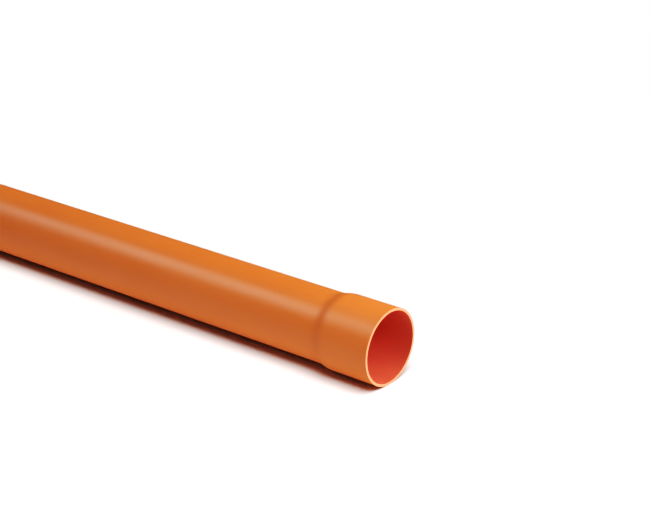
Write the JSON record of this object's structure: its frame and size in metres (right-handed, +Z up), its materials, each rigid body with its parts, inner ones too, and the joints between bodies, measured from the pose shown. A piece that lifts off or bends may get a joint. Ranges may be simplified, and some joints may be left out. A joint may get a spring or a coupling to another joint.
{
  "type": "rigid pvc pipe",
  "caption": "Straight round tube of rigid orange PVC for drains, with a plain belled socket at one end to take the next pipe and a bevelled plain end at the other.",
  "frame": {"origin": "on the floor, under the middle of the pipe's length", "axes": "+X along the pipe, out of the socket's mouth; +Z up from the floor that it lies on"},
  "size_m": [1, 0.0858, 0.086],
  "materials": {
    "pvc": "satin, as extruded"
  },
  "bodies": {
    "root": {"pipe": "pvc"}
  },
  "joints": []
}
